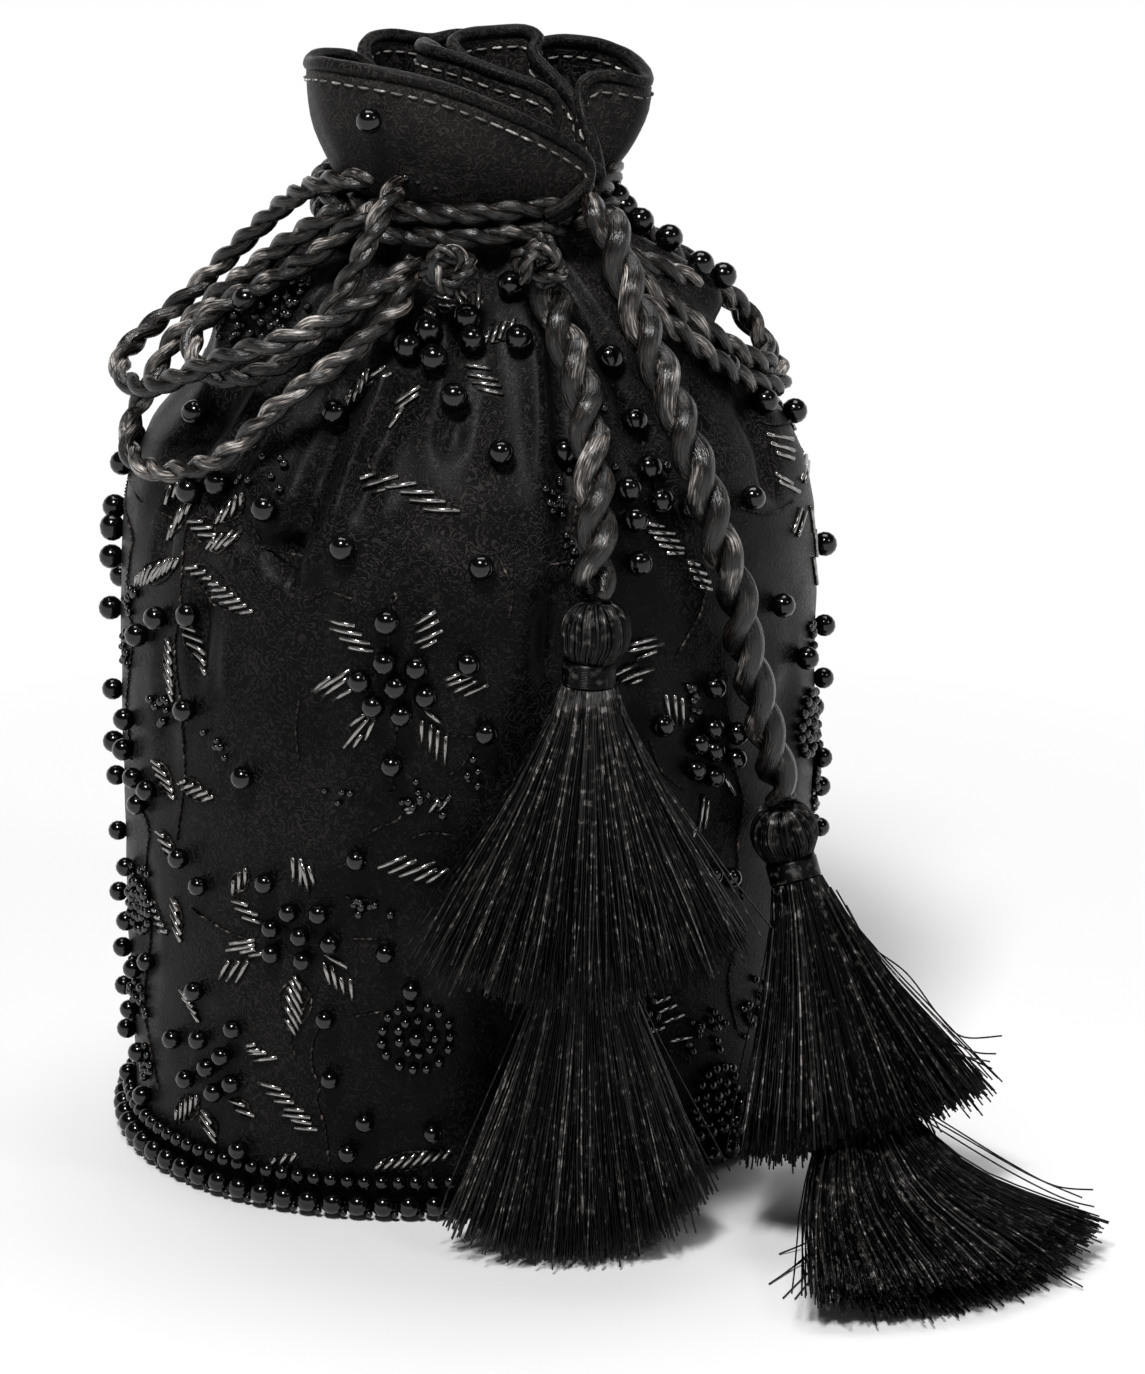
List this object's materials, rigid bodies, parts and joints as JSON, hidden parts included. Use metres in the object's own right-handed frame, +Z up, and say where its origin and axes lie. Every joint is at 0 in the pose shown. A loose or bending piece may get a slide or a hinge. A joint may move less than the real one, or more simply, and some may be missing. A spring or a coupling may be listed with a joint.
{
  "type": "potli bag",
  "caption": "Drawstring pouch of black satin with beaded trim, twisted cords and two-tier thread tassels, drawn shut.",
  "frame": {"origin": "centre of the bag's base, on the table", "axes": "+Z up, through the drawn mouth; the front, where a tassel hangs, faces -Y; +X is the picture's right"},
  "size_m": [0.1952, 0.1748, 0.2215],
  "materials": {
    "black_cloth": "fine-grained matte satin",
    "lining_cloth": "plain satin lining",
    "board": "pressed card board",
    "pearl_black": "polished round beads",
    "cord_satin": "twisted satin cord",
    "thread": "loose silky thread"
  },
  "bodies": {
    "root": {"outer_shell": "black_cloth", "lining": "lining_cloth", "base_board": "board", "base_panel": "black_cloth", "base_pearl_strand": "pearl_black", "base_seed_strand": "pearl_black", "neck_cord": "cord_satin", "left_outer_loop": "cord_satin", "left_lower_loop": "cord_satin", "left_front_loop": "cord_satin", "right_upper_loop": "cord_satin", "right_lower_loop": "cord_satin", "front_tassel_cord": "cord_satin", "side_tassel_cord": "cord_satin", "front_tassel_head": "thread", "front_tassel_band": "thread", "front_tassel_upper_skirt": "thread", "front_tassel_core_cord": "cord_satin", "front_tassel_lower_tie": "thread", "front_tassel_lower_skirt": "thread", "side_tassel_head": "thread", "side_tassel_band": "thread", "side_tassel_upper_skirt": "thread", "side_tassel_core_cord": "cord_satin", "side_tassel_lower_tie": "thread", "side_tassel_lower_skirt": "thread"}
  },
  "joints": []
}
